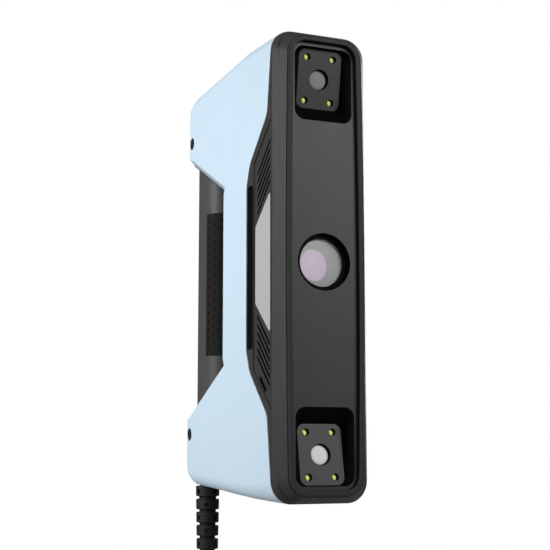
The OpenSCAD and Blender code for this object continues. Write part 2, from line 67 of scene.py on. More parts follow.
world = bpy.data.worlds.new("studio")
bpy.context.scene.world = world
world.use_nodes = True
studio = world.node_tree
lit = studio.nodes["Background"]
lit.inputs["Color"].default_value = SKY_TINT
lit.inputs["Strength"].default_value = AMBIENT
backdrop = studio.nodes.new("ShaderNodeBackground")
backdrop.inputs["Color"].default_value = (1, 1, 1, 1)
ray = studio.nodes.new("ShaderNodeLightPath")
either = studio.nodes.new("ShaderNodeMixShader")
studio.links.new(ray.outputs["Is Camera Ray"], either.inputs["Fac"])
studio.links.new(lit.outputs["Background"], either.inputs[1])
studio.links.new(backdrop.outputs["Background"], either.inputs[2])
studio.links.new(either.outputs["Shader"], studio.nodes["World Output"].inputs["Surface"])


def area_light(name, place, target, size, power, height=None, spread=80):
    """A softbox; place, target and size in metres, power in watts, spread in degrees."""
    data = bpy.data.lights.new(name, "AREA")
    data.shape = "RECTANGLE"
    data.size = size
    data.size_y = height or size
    data.energy = power
    data.spread = math.radians(spread)
    lamp = bpy.data.objects.new(name, data)
    bpy.context.collection.objects.link(lamp)
    lamp.location = place
    lamp.rotation_euler = (Vector(target) - Vector(place)).to_track_quat("-Z", "Y").to_euler()


area_light("side", (-1.0, -0.12, 0.3), (0, 0, 0.02), 0.5, 1.65, spread=55)
area_light("front", (0.78, -1.4, 0.6), (0, 0, 0), 0.7, 2.9, 0.6)
area_light("behind", (0.9, 1.3, 0.4), (0, 0, 0), 0.9, 3.0)


# ---------------------------------------------------------------- materials
def node(tree, kind, **inputs):
    n = tree.nodes.new(kind)
    for key, value in inputs.items():
        n.inputs[key.replace("_", " ")].default_value = value
    return n


def finish_of(name, color, rough, grain=2200, bump=0.05, vary=0.12, depth=0.0002, cloud=60,
              metallic=0.0, coat=0.0, alpha=1.0, sheen=0.0, specular=0.5, rough_vary=0.1,
              stretch=(1, 1, 1), emission=0.0):
    """A moulded, painted or machined finish: clouded colour, varied roughness and a fine grain.

    cloud and grain are noise scales per metre, vary and rough_vary how far they move colour and
    roughness, and depth the grain's height in metres.
    """
    m = bpy.data.materials.new(name)
    m.use_nodes = True
    t = m.node_tree
    shader = t.nodes["Principled BSDF"]
    link = t.links.new
    place = t.nodes.new("ShaderNodeTexCoord")
    scaled = t.nodes.new("ShaderNodeMapping")
    scaled.inputs["Scale"].default_value = stretch
    link(place.outputs["Object"], scaled.inputs["Vector"])
    clouds = node(t, "ShaderNodeTexNoise", Scale=cloud, Detail=3.0, Roughness=0.55)
    fine = node(t, "ShaderNodeTexNoise", Scale=grain, Detail=2.0, Roughness=0.6)
    link(scaled.outputs["Vector"], clouds.inputs["Vector"])
    link(scaled.outputs["Vector"], fine.inputs["Vector"])
    ramp = t.nodes.new("ShaderNodeValToRGB")
    ramp.color_ramp.elements[0].position = 0.3
    ramp.color_ramp.elements[1].position = 0.7
    ramp.color_ramp.elements[0].color = [c * (1 - vary) for c in color] + [1]
    ramp.color_ramp.elements[1].color = [min(1, c * (1 + vary)) for c in color] + [1]
    both = t.nodes.new("ShaderNodeMix")
    both.data_type = "FLOAT"
    both.inputs["Factor"].default_value = 0.4
    link(clouds.outputs["Fac"], both.inputs["A"])
    link(fine.outputs["Fac"], both.inputs["B"])
    link(both.outputs["Result"], ramp.inputs["Fac"])
    link(ramp.outputs["Color"], shader.inputs["Base Color"])
    range_ = t.nodes.new("ShaderNodeMapRange")
    range_.inputs["To Min"].default_value = max(0.02, rough - rough_vary / 2)
    range_.inputs["To Max"].default_value = min(1, rough + rough_vary / 2)
    link(both.outputs["Result"], range_.inputs["Value"])
    link(range_.outputs["Result"], shader.inputs["Roughness"])
    if bump:
        b = t.nodes.new("ShaderNodeBump")
        b.inputs["Strength"].default_value = bump
        b.inputs["Distance"].default_value = depth
        link(fine.outputs["Fac"], b.inputs["Height"])
        link(b.outputs["Normal"], shader.inputs["Normal"])
    shader.inputs["Metallic"].default_value = metallic
    shader.inputs["Coat Weight"].default_value = coat
    shader.inputs["Coat Roughness"].default_value = 0.12
    shader.inputs["Alpha"].default_value = alpha
    shader.inputs["Sheen Weight"].default_value = sheen
    shader.inputs["Specular IOR Level"].default_value = specular
    shader.inputs["IOR"].default_value = 1.45
    if emission:
        link(ramp.outputs["Color"], shader.inputs["Emission Color"])
        shader.inputs["Emission Strength"].default_value = emission
    return m


FINISH = {
    "bezel_black": finish_of("bezel_black", (0.042, 0.042, 0.042), 0.42, bump=0.1, vary=0.08,
                             specular=0.08),
    "panel_black": finish_of("panel_black", (0.04, 0.04, 0.041), 0.45, bump=0.06, vary=0.08,
                             specular=0.35),
    "shell_black": finish_of("shell_black", (0.055, 0.055, 0.055), 0.5, bump=0.15, vary=0.1,
                             specular=0.25),
    "cover_blue": finish_of("cover_blue", (0.54, 0.67, 0.775), 0.36, grain=3200, bump=0.05, vary=0.018,
                            cloud=18, rough_vary=0.06, specular=0.35),
    "badge_grey": finish_of("badge_grey", (0.4, 0.4, 0.41), 0.4, bump=0.04, vary=0.04),
    "pad_rubber": finish_of("pad_rubber", (0.01, 0.01, 0.01), 0.75, bump=0.25, vary=0.12,
                            specular=0.12),
    "soft_rubber": finish_of("soft_rubber", (0.014, 0.014, 0.014), 0.6, bump=0.2, vary=0.15,
                             specular=0.25),
    "button_grey": finish_of("button_grey", (0.1, 0.1, 0.105), 0.45, bump=0.1, vary=0.1),
    "light_guide": finish_of("light_guide", (0.35, 0.75, 0.9), 0.2, bump=0.02, vary=0.05, emission=0.5),
    "lens_glass": finish_of("lens_glass", (0.3, 0.3, 0.305), 0.4, bump=0.0, vary=0.03, cloud=200,
                            specular=0.3),
    # The window glass's grey base colour is a painted reflection; its gloss and coat are real.
    "window_glass": finish_of("window_glass", (0.74, 0.74, 0.74), 0.14, bump=0.0, vary=0.03, cloud=120,
                              alpha=0.5, specular=0.8, coat=0.5),
    # The coated lens glows: a painted reflection of its coating.
    "coated_lens": finish_of("coated_lens", (0.82, 0.55, 0.86), 0.2, bump=0.0, vary=0.05, cloud=150,
                             coat=0.3, emission=0.85),
    "barrel_black": finish_of("barrel_black", (0.01, 0.01, 0.011), 0.45, bump=0.1, specular=0.25),
    "led_yellow": finish_of("led_yellow", (0.85, 0.84, 0.2), 0.25, bump=0.02, vary=0.06, emission=0.45,
                            coat=0.6),
    "board_green": finish_of("board_green", (0.015, 0.12, 0.05), 0.35, grain=700, bump=0.15, vary=0.2),
    "chip_black": finish_of("chip_black", (0.02, 0.02, 0.023), 0.45, bump=0.1),
    "bare_aluminium": finish_of("bare_aluminium", (0.7, 0.71, 0.73), 0.35, metallic=1.0, bump=0.1,
                                vary=0.05, stretch=(1, 1, 0.05)),
    "engine_grey": finish_of("engine_grey", (0.18, 0.18, 0.19), 0.5, metallic=0.8, bump=0.3),
    "steel": finish_of("steel", (0.6, 0.6, 0.61), 0.28, metallic=1.0, bump=0.06, vary=0.06),
    "brass": finish_of("brass", (0.78, 0.6, 0.28), 0.3, metallic=1.0, bump=0.06, vary=0.08),
    "cord_black": finish_of("cord_black", (0.016, 0.016, 0.017), 0.55, bump=0.2, vary=0.15,
                            specular=0.3),
    "tie_fabric": finish_of("tie_fabric", (0.014, 0.014, 0.015), 0.85, grain=1500, bump=0.8, vary=0.3,
                            sheen=0.3),
}
# Finishes for parts of a piece: near-black painted shade for deep recesses, the black zones beside the
# vents, and a lighter lens glass that paints a reflection on the lower lens.
painted_shade_black = finish_of("painted_shade_black", (0.003, 0.003, 0.0032), 0.6, bump=0.08, vary=0.1, specular=0.05)
zone_black = finish_of("zone_black", (0.032, 0.032, 0.032), 0.5, bump=0.15, vary=0.1, specular=0.25)
painted_reflection_glass = finish_of("painted_reflection_glass", (0.93, 0.86, 0.93), 0.4, bump=0.0, vary=0.03, cloud=200)
SLOTS = {s["node"]: s["material_slot"] for s in frame["record"]["subparts"]}


def dress(o, slot_name, replaced, body="root", keep=False):
    """Gives a piece its finish, its place in the table and the body it rides on.

    replaced is the CAD node, or nodes, that it stands for; keep leaves its painted materials.
    """
    if not keep:
        o.data.materials.clear()
        o.data.materials.append(FINISH[slot_name])
        if o.type == "MESH":
            for f in o.data.polygons:
                f.material_index = 0
    nodes = [replaced] if isinstance(replaced, str) else list(replaced)
    o.name = nodes[0] + "_visual"
    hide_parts(*nodes)
    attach(o, body)
    return o


def paint(o, materials, choose):
    """Several materials on one piece; choose(x, y, z, normal) gives a face's index, in mm."""
    o.data.materials.clear()
    for m in materials:
        o.data.materials.append(m)
    for f in o.data.polygons:
        c = f.center / MM
        f.material_index = choose(c.x, c.y + ORIGIN_Y, c.z, f.normal)


# ---------------------------------------------------------------- shapes
def link_mesh(name, mesh):
    o = bpy.data.objects.new(name, mesh)
    bpy.context.collection.objects.link(o)
    return o


def solid(name, verts, faces):
    """A closed mesh from points in millimetres."""
    mesh = bpy.data.meshes.new(name)
    mesh.from_pydata([at(*v) for v in verts], [], faces)
    bm = bmesh.new()
    bm.from_mesh(mesh)
    bmesh.ops.recalc_face_normals(bm, faces=bm.faces)
    bm.to_mesh(mesh)
    bm.free()
    return link_mesh(name, mesh)


def loft(name, rings, closed=False):
    """Quads between rings of equal length; closed joins the last ring to the first."""
    n, m = len(rings[0]), len(rings)
    faces = []
    for k in range(m if closed else m - 1):
        a, b = k * n, (k + 1) % m * n
        faces += [(a + i, a + (i + 1) % n, b + (i + 1) % n, b + i) for i in range(n)]
    if not closed:
        faces += [tuple(range(n)), tuple(range((m - 1) * n, m * n))]
    return solid(name, [p for r in rings for p in r], faces)


def prism_x(name, flat, x0, x1):
    return loft(name, [[(x, y, z) for y, z in flat] for x in (x0, x1)])


def prism_y(name, flat, y0, y1):
    return loft(name, [[(x, y, z) for x, z in flat] for y in (y0, y1)])


def prism_z(name, flat, z0, z1):
    return loft(name, [[(x, y, z) for x, y in flat] for z in (z0, z1)])


def box(name, x0, x1, y0, y1, z0, z1):
    return prism_z(name, [(x0, y0), (x1, y0), (x1, y1), (x0, y1)], z0, z1)


def lathe(name, profile, place, axis, steps=64):
    """profile is [(radius, distance along axis)], closed on the axis where the radius is 0."""
    axis = Vector(axis).normalized()
    side = axis.orthogonal().normalized()
    other = axis.cross(side)
    verts, rows = [], []
    for r, h in profile:
        if r < 1e-6:
            rows.append([len(verts)])
            verts.append(Vector(place) + axis * h)
        else:
            rows.append(list(range(len(verts), len(verts) + steps)))
            for k in range(steps):
                a = 2 * math.pi * k / steps
                out = side * math.cos(a) + other * math.sin(a)
                verts.append(Vector(place) + axis * h + out * r)
    faces = []
    pairs = list(zip(rows, rows[1:]))
    if len(rows[0]) > 1 and len(rows[-1]) > 1:
        pairs.append((rows[-1], rows[0]))
    for a, b in pairs:
        for k in range(steps):
            q = [a[k % len(a)], a[(k + 1) % len(a)], b[(k + 1) % len(b)], b[k % len(b)]]
            q = [v for i, v in enumerate(q) if v not in q[:i]]
            if len(q) > 2:
                faces.append(tuple(q))
    return solid(name, verts, faces)


def cylinder(name, r, place, axis, h0, h1, steps=48):
    return lathe(name, [(0, h0), (r, h0), (r, h1), (0, h1)], place, axis, steps)


def final(o):
    """Applies what is on the object."""
    graph = bpy.context.evaluated_depsgraph_get()
    mesh = bpy.data.meshes.new_from_object(o.evaluated_get(graph))
    o.modifiers.clear()
    o.data = mesh
    return o


def combine(o, tool, how="DIFFERENCE"):
    """One boolean, which uses the tool up."""
    b = o.modifiers.new("cut", "BOOLEAN")
    b.operation = how
    b.solver = "MANIFOLD"
    b.object = tool
    final(o)
    bpy.data.objects.remove(tool)
    return o


def cut(o, *tools):
    for tool in tools:
        combine(o, tool)
    return o


def add(o, *tools):
    for tool in tools:
        combine(o, tool, "UNION")
    return o


def common(o, *tools):
    for tool in tools:
        combine(o, tool, "INTERSECT")
    return o


def join(name, parts):
    """One object from parts that don't touch."""
    bm = bmesh.new()
    for p in parts:
        m = p.data.copy()
        m.transform(p.matrix_world)
        bm.from_mesh(m)
        bpy.data.objects.remove(p)
    mesh = bpy.data.meshes.new(name)
    bm.to_mesh(mesh)
    bm.free()
    return link_mesh(name, mesh)


def mirrored(o, name):
    """A copy on the left side."""
    mesh = o.data.copy()
    mesh.transform(Matrix.Diagonal((-1, 1, 1, 1)))
    mesh.flip_normals()
    return link_mesh(name, mesh)


WELD, FLAT_ANGLE = 0.01, 0.4


def soften(o, width=0.5, angle=32, segments=3):
    """Cleans a cut mesh, rounds its edges and shades it smooth between them."""
    bm = bmesh.new()
    bm.from_mesh(o.data)
    bmesh.ops.remove_doubles(bm, verts=bm.verts, dist=WELD * MM)
    bmesh.ops.dissolve_limit(bm, angle_limit=math.radians(FLAT_ANGLE), verts=bm.verts, edges=bm.edges)
    bm.to_mesh(o.data)
    bm.free()
    b = o.modifiers.new("bevel", "BEVEL")
    b.width = width * MM
    b.segments = segments
    b.limit_method = "ANGLE"
    b.angle_limit = math.radians(angle)
    b.use_clamp_overlap = True
    final(o)
    return smooth(o, angle)


def smooth(o, angle=35):
    """Smooth shading between edges sharper than the angle."""
    o.data.shade_smooth()
    o.data.set_sharp_from_angle(angle=math.radians(angle))
    w = o.modifiers.new("normals", "WEIGHTED_NORMAL")
    w.keep_sharp = True
    w.weight = 80
    return o


def arc(cx, cz, r, a0, n):
    """A quarter circle from the angle a0, in n steps."""
    return [(cx + r * math.cos(math.radians(a0 + 90 * i / n)),
             cz + r * math.sin(math.radians(a0 + 90 * i / n))) for i in range(n + 1)]


def outline(mid, end, h, r, n=10, side=16):
    """Closed outline seen from the front: bowed sides and round corners.

    mid and end are the half widths at the middle and at the ends, h the half height.
    """
    s = []
    for i in range(1, side):
        t = -1 + 2 * i / side
        s.append((mid - (mid - end) * t * t, t * (h - r)))
    return (s + arc(end - r, h - r, r, 0, n) + arc(r - end, h - r, r, 90, n)
            + [(-x, z) for x, z in reversed(s)]
            + arc(r - end, r - h, r, 180, n) + arc(end - r, r - h, r, 270, n))


def round_box(w, h, r, cx=0.0, cz=0.0, n=10):
    """A rectangle with round corners, w by h about its centre."""
    x, z = w / 2 - r, h / 2 - r
    pts = arc(x, z, r, 0, n) + arc(-x, z, r, 90, n) + arc(-x, -z, r, 180, n) + arc(x, -z, r, 270, n)
    return [(cx + a, cz + b) for a, b in pts]


def filleted(points, steps=8):
    """points are (y, z, radius); corners with a radius are rounded."""
    out = []
    n = len(points)
    for i, (py, pz, r) in enumerate(points):
        p = Vector((py, pz))
        if r <= 0:
            out.append((py, pz))
            continue
        a = Vector(points[i - 1][:2]) - p
        b = Vector(points[(i + 1) % n][:2]) - p
        half = a.angle(b) / 2
        t = min(r / math.tan(half), 0.49 * a.length, 0.49 * b.length)
        r = t * math.tan(half)
        centre = p + (a.normalized() + b.normalized()).normalized() * (r / math.sin(half))
        start, end = p + a.normalized() * t - centre, p + b.normalized() * t - centre
        a0 = math.atan2(start.y, start.x)
        turn = math.atan2(start.x * end.y - start.y * end.x, start.dot(end))
        out += [(centre.x + r * math.cos(a0 + turn * k / steps),
                 centre.y + r * math.sin(a0 + turn * k / steps)) for k in range(steps + 1)]
    return out


# ---------------------------------------------------------------- the body's form
HALF_W, HALF_H, FRONT_HALF_W = 31.5, 135.0, 29.5
BEZEL_D, COVER_D, SLOPE_START, TAPER = 10.0, 148.0, 45.0, 0.05
EDGE_R, FRONT_R, REAR_R, SIDE_R = 9.0, 12.5, 14.0, 6.0


def half_height(y):
    return HALF_H - TAPER * (y - BEZEL_D)


def corner(y):
    """Radius of the long edges, larger at the front."""
    return EDGE_R + (FRONT_R - EDGE_R) * max(0, SLOPE_START - y) / (SLOPE_START - BEZEL_D)


def slope_width(y):
    """Half width of the front part, which widens up to SLOPE_START."""
    return FRONT_HALF_W + (HALF_W - FRONT_HALF_W) * ((y - BEZEL_D) / (SLOPE_START - BEZEL_D))


def form(name, d, start=BEZEL_D, steps=10):
    """The body's full form, d inside its outer surface."""
    rz, rx, rear = REAR_R - d, max(SIDE_R - d, 1), COVER_D - d
    y0 = rear - rz
    rings = []
    for y in (start, 20, 30, 38, SLOPE_START, 60, 90, 120):
        rings.append((y, min(HALF_W, slope_width(y)) - d, half_height(y) - d))
    for k in range(steps + 1):
        a = math.radians(90 * k / steps)
        y = y0 + rz * math.sin(a)
        back = max(0, y - rear + rx)
        rings.append((y, HALF_W - d - rx + math.sqrt(max(0, rx * rx - back * back)),
                      half_height(y0) - d - rz * (1 - math.cos(a))))
    return loft(name, [[(x, y, z) for x, z in outline(w, w, h, max(corner(y) - d, 1))]
                       for y, w, h in rings])


WAIST_REAR, WAIST_R, SHOULDER_Z, RISE, FAR_Y = 83.0, 8.0, 51.4, 0.49, 160.0
SHOULDER_FAR = SHOULDER_Z + RISE * (FAR_Y - WAIST_REAR)


def between_arms(name, grow=0.0):
    """The hand opening, from side to side and open to the back."""
    lean = math.hypot(1, RISE) * grow - RISE * grow
    far = SHOULDER_FAR + grow * 1.12
    pts = [(WAIST_REAR - grow, -SHOULDER_Z - lean, WAIST_R), (FAR_Y, -far, 0),
           (FAR_Y, far, 0), (WAIST_REAR - grow, SHOULDER_Z + lean, WAIST_R)]
    return prism_x(name, filleted(pts), -45, 45)


COVER_Y = BEZEL_D + 0.8
COVER_FRONT = [(COVER_Y, 127, 0), (16, 86, 12), (38.5, 61, 14), (43, 48.5, 16)]
COVER_TOP = 140
VENT = [(11.5, -83), (11.5, 83), (34, 60), (34, -60)]


def cover_outline(grow=0.0):
    """A side cover seen from the side; grow moves its front edge back."""
    upper = [(y + grow, z, r) for y, z, r in COVER_FRONT]
    if grow:
        upper = [(y, z - grow * 0.4, r) for y, z, r in upper]
    lower = [(y, -z, r) for y, z, r in reversed(upper)]
    return filleted([(COVER_Y, COVER_TOP, 0)] + upper + lower + [
        (COVER_Y, -COVER_TOP, 0), (FAR_Y, -COVER_TOP, 0), (FAR_Y, -SHOULDER_FAR, 0),
        (WAIST_REAR, -SHOULDER_Z, WAIST_R), (WAIST_REAR, SHOULDER_Z, WAIST_R),
        (FAR_Y, SHOULDER_FAR, 0), (FAR_Y, COVER_TOP, 0)])


# ---------------------------------------------------------------- bezel and front panel
# Half width at the middle and at the ends, half height and corner radius of the bezel's outlines.
RIM, OPENING, FOOT = (24.0, 22.8, 130.5, 11.5), (21.0, 19.8, 127.5, 8.5), (29.5, 29.5, 135.0, FRONT_R)
BEHIND, INNER_ROUND = (22.3, 21.1, 128.8, 9.8), 0.7


def bezel():
    def ring(spec, inset, y):
        return [(x, y, z) for x, z in outline(*(v - inset for v in spec))]

    def slope(t):
        spec = [a + (b - a) * t for a, b in zip(RIM[:3], FOOT)]
        return [(x, BEZEL_D * t, z) for x, z in outline(*spec, FRONT_R - 1 + t)]

    rings = [ring(OPENING, 0, 4.2), ring(OPENING, 0, INNER_ROUND)]
    rings += [ring(OPENING, -INNER_ROUND * (1 - math.cos(a)), INNER_ROUND - INNER_ROUND * math.sin(a))
              for a in (0.4, 0.8, 1.2)]
    rings += [ring(OPENING, -INNER_ROUND, 0)]
    rings += [ring(RIM, d, y) for d, y in ((0.9, 0), (0.45, 0.1), (0.12, 0.35))]
    # A seam line runs round just behind the rim.
    rings += [slope(0.055), ring(RIM, 0.35, 0.75), ring(RIM, 0.3, 1.0), slope(0.12)]
    rings += [slope(t) for t in (0.3, 0.6, 0.9, 0.97)]
    rings += [ring(FOOT, d, y) for d, y in ((0.15, 9.95), (0.4, 10), (2.2, 10), (2.6, 6))]
    rings += [ring(BEHIND, 0, 3.4), ring(BEHIND, 0, 4.2)]
    o = loft("bezel", rings, closed=True)
    smooth(o, 40)
    # The opening's inner walls get near-black painted shade.
    paint(o, (FINISH["bezel_black"], painted_shade_black), lambda x, y, z, n: int(
        0.72 < y < 9 and n.x * x + n.z * z < 0 and abs(n.y) < 0.3))
    return dress(o, "bezel_black", "front_bezel", keep=True)


CAMERA_TILT, CAMERA_Z, PLATE_Y, PANEL_Y = math.radians(9), 107.7, 8.8, 3.0
PLATE_W, PLATE_H, PLATE_R, PLATE_T = 27.4, 34.6, 4.5, 2.0
WINDOW_W, WINDOW_H, WINDOW_R, WINDOW_Z = 36.2, 43.7, 6, 103.35
WELL_R, BORE_R, GLASS_SEAT_R, BOSS_R = 16.4, 13.8, 14.75, 18.4


def camera_point(x, y, z, side=1):
    """A point in a camera plate's own coordinates; side is 1 for the upper camera."""
    c, s = math.cos(CAMERA_TILT), math.sin(CAMERA_TILT)
    return (x, PLATE_Y + y * c - z * s, side * (CAMERA_Z + y * s + z * c))


def camera_axis(side=1):
    return (0, math.cos(CAMERA_TILT), side * math.sin(CAMERA_TILT))


def tilted(name, flat, y0, y1, side=1):
    return loft(name, [[camera_point(x, y, z, side) for x, z in flat] for y in (y0, y1)])


def front_panel():
    panel = prism_y("panel", outline(22, 20.8, 128.5, 9.5), PANEL_Y, PANEL_Y + 2.2)
    for side in (1, -1):
        window = round_box(39.2, 45.7, 5.5, 0, side * WINDOW_Z)
        tray = prism_y("tray", window, PANEL_Y + 0.5, 18)
        square = [(-45, -45), (45, -45), (45, 45), (-45, 45)]
        common(tray, tilted("slab", square, -30, PLATE_T + 1.2, side))
        add(panel, tray)
    add(panel, cylinder("boss", BOSS_R, (0, 0, 0), (0, 1, 0), PANEL_Y + 0.5, 11, 96))
    for side in (1, -1):
        mouth = round_box(WINDOW_W, WINDOW_H, WINDOW_R, 0, WINDOW_Z)
        plate = round_box(PLATE_W, PLATE_H, PLATE_R)
        rings = []
        for t in (-0.04, 0.0, 1.0, 1.02):
            ring = []
            for (mx, mz), (px, pz) in zip(mouth, plate):
                a, b = Vector((mx, PANEL_Y, side * mz)), Vector(camera_point(px, 0, pz, side))
                ring.append(tuple(a + (b - a) * t))
            rings.append(ring)
        cut(panel, loft("funnel", rings))
        cut(panel, tilted("seat", round_box(27.7, 34.9, 4.65), -0.2, PLATE_T, side),
            tilted("through", round_box(25, 32.2, 3.3), PLATE_T - 0.5, 9, side))
    cut(panel, cylinder("well", WELL_R, (0, 0, 0), (0, 1, 0), 0, 6, 128),
        cylinder("bore", BORE_R, (0, 0, 0), (0, 1, 0), 5, 12, 96),
        cylinder("seat", GLASS_SEAT_R, (0, 0, 0), (0, 1, 0), 8, 12, 96))
    soften(panel, 0.35, 35, 2)
    # Faces behind the front face, the walls of the trays, funnels and wells, get near-black painted
    # shade.
    paint(panel, (FINISH["panel_black"], painted_shade_black), lambda x, y, z, n: int(y > PANEL_Y + 0.45))
    return dress(panel, "panel_black", "front_panel", keep=True)


LED_X, LED_Z = 8.2, 12.6
LEDS = [(sx * LED_X, sz * LED_Z) for sx in (-1, 1) for sz in (-1, 1)]
HOLES = [(x, z, 3) for x, z in LEDS] + [(0, 0, 7)]


def camera_set(side, word):
    """A camera plate with its lens, marker lamps and the ring round the lens."""
    plate = loft("plate_" + word, [
        [camera_point(x, y, z, side)
         for x, z in round_box(PLATE_W - 2 * d, PLATE_H - 2 * d, PLATE_R - d)]
        for y, d in ((0, 0.25), (0.08, 0.08), (0.25, 0), (PLATE_T, 0))])
    axis = camera_axis(side)
    origin = camera_point(0, 0, 0, side)
    cut(plate, lathe("hole", [(0, -1), (6.2, -1), (6.2, 0), (5.9, 0.25), (5.9, 3), (0, 3)],
                     origin, axis, 64))
    for x, z in LEDS:
        cut(plate, lathe("eye", [(0, -1), (2.05, -1), (2.05, 3), (0, 3)],
                         camera_point(x, 0, z, side), axis, 32))
    smooth(plate, 35)
    # The walls of the lens and lamp holes get near-black painted shade.
    paint(plate, (FINISH["panel_black"], painted_shade_black), lambda x, y, z, n: int(
        abs(n.dot(Vector(axis))) < 0.5
        and any(math.hypot(x - hx, abs(z) - CAMERA_Z - hz) < hr for hx, hz, hr in HOLES)))
    dress(plate, "panel_black", "camera_plate_" + word, keep=True)
    glass = lathe("lens_" + word, [(0, 1.85), (1.5, 1.855), (3, 1.88), (4.3, 1.91), (5.2, 1.95),
                                   (5.4, 2.1), (5.4, 3.2), (0, 3.2)], origin, axis, 64)
    smooth(glass, 40)
    # The lower lens gets a lighter glass: a painted reflection.
    paint(glass, (FINISH["lens_glass"] if side > 0 else painted_reflection_glass,), lambda x, y, z, n: 0)
    dress(glass, "lens_glass", "camera_glass_" + word, keep=True)
    domes = []
    for x, z in LEDS:
        p = camera_point(x, 0, z, side)
        domes.append(lathe("dome", [(0, 1.8), (0.4, 1.86), (0.75, 2.1), (0.9, 2.4), (0.95, 2.8),
                                    (1.55, 2.85), (1.55, 3.4), (0, 3.4)], p, axis, 24))
    leds = join("leds_" + word, domes)
    smooth(leds, 40)
    dress(leds, "led_yellow", "led_rings_" + word)
    ring = lathe("lens_ring_" + word, [
        (5.45, 3.2), (5.45, 2.1), (5.6, 2.0), (5.85, 2.0), (5.85, 2.6), (8, 2.6),
        (8, 11), (9.4, 11), (9.4, 20), (4, 20), (4, 3.3)], origin, axis, 64)
    smooth(ring, 35)
    dress(ring, "barrel_black", "camera_barrel_" + word)


# ---------------------------------------------------------------- housing, covers, vents, badges
GRIP_W, GRIP_D, GRIP_R, GRIP_BACK, GRIP_END = 52.0, 37.0, 12.5, 150.0, 112.0
GRIP_FRONT = GRIP_BACK - GRIP_D
HOUSING_Y, LIP, REVEAL, WALL, GRIP_WALL = 10.62, 5.5, 0.4, 2.5, 2.5
STRIP_FRONT, STRIP_END, STRIP_END_Y = 17.2, 26.5, 90
GROOVE_Y, PILOT_R, PLUG_R = 38.6, 1.1, 4
SCREW_PLACES = [(139, 96), (139, -96)]
SPINE_W, SPINE_H, SPINE_R, SPINE_T, SPINE_Z = 27, 190, 9, 1.6, 8
RELIEF = (-19.0, 138.0, -128.7)


def grip_form(name, d):
    """The grip's full form, d inside its outer surface."""
    flat = round_box(GRIP_W - 2 * d, GRIP_D - 2 * d, GRIP_R - d, 0, (GRIP_FRONT + GRIP_BACK) / 2, 12)
    o = prism_z(name, flat, d - GRIP_END, GRIP_END - d)
    ends = round_box(60, 2 * (GRIP_END - d), 10, GRIP_BACK - 30 - d, 0)
    return common(o, prism_x("ends", ends, -40, 40))


def pocket_floor(x, y, z, n):
    """Whether a face lies at the bottom of the pocket behind the vents or of the groove, where
    near-black painted shade goes.
    """
    return 20 < abs(x) < slope_width(y) - 1.2 and abs(z) < 84 and 11 < y < 43 and abs(n.x) > 0.3


def strip(name, grow=0.0):
    """The black strip between the side covers, seen from above, narrower towards the front."""
    front, end = STRIP_FRONT + grow, STRIP_END + grow
    right = [(front, 9), (front, BEZEL_D), (end, STRIP_END_Y), (end, FAR_Y)]
    return prism_z(name, right + [(-x, y) for x, y in reversed(right)], -150, 150)


def housing():
    body = form("housing", LIP, HOUSING_Y)
    cut(body, between_arms("gap"))
    skin = form("skin", REVEAL, HOUSING_Y)
    zone = strip("zone")
    cut(zone, box("middle", -50, 50, 0, 200, -60, 60))
    front = prism_x("front", [(0, -140), (44, -140), (44, 140), (0, 140)], -40, 40)
    cut(front, prism_x("cover", cover_outline(-0.5), -50, 50))
    add(zone, front)
    common(skin, zone)
    cut(skin, between_arms("gap"))
    add(body, skin, grip_form("grip", 0))
    hollow = form("hollow", LIP + WALL, 9)
    cut(hollow, between_arms("gap", WALL))
    cut(body, hollow, grip_form("grip_hollow", GRIP_WALL))
    mouth = form("mouth", 2.9, 9)
    common(mouth, box("slab", -60, 60, 0, 13, -150, 150))
    cut(body, mouth)
    for s in (1, -1):
        ends = sorted((s * 20, s * 40))
        pocket = prism_x("pocket", VENT, *ends)
        cut(pocket, form("floor", VENT_UNDER))
        cut(body, pocket)
        through = sorted((s * 24, s * 40))
        cut(body, prism_x("groove", round_box(7.6, 96, 2, GROOVE_Y, 0), *sorted((s * 28.5, s * 40))),
            prism_x("slot", round_box(2.4, 92, 1, 39, 0), *through),
            prism_x("window", [(14, -72), (14, 72), (31.5, 54), (31.5, -54)], *through))
        for y, z in SCREW_PLACES:
            cut(body, cylinder("pilot", PILOT_R, (0, y, z), (s, 0, 0), 20, 40, 24))
    seat = round_box(SPINE_W + 0.3, SPINE_H + 0.3, 9.1, 0, SPINE_Z)
    cut(body, prism_y("seat", seat, GRIP_BACK - SPINE_T, GRIP_BACK + 1),
        prism_y("inner", round_box(21, 184, 6, 0, SPINE_Z), GRIP_BACK - 6, GRIP_BACK + 1),
        cylinder("thread", 5.5, (0, 60, 0), (0, 0, 1), -140, -120, 40),
        cylinder("gland", 5.2, (RELIEF[0], RELIEF[1], 0), (0, 0, 1), -140, -116, 40))
    for s, word in ((1, "right"), (-1, "left")):
        half = link_mesh("housing_" + word, body.data.copy())
        common(half, box("side", *sorted((s * 0.05, s * 50)), 0, 200, -150, 150))
        soften(half, 0.35, 32, 2)
        # The floors of the pockets behind the vents and of the grooves get near-black painted shade.
        paint(half, (FINISH["shell_black"], zone_black, painted_shade_black), lambda x, y, z, n: (
            0 if y > 60 else 2 if pocket_floor(x, y, z, n) else 1))
        dress(half, "shell_black", "housing_" + word, keep=True)
    bpy.data.objects.remove(body)


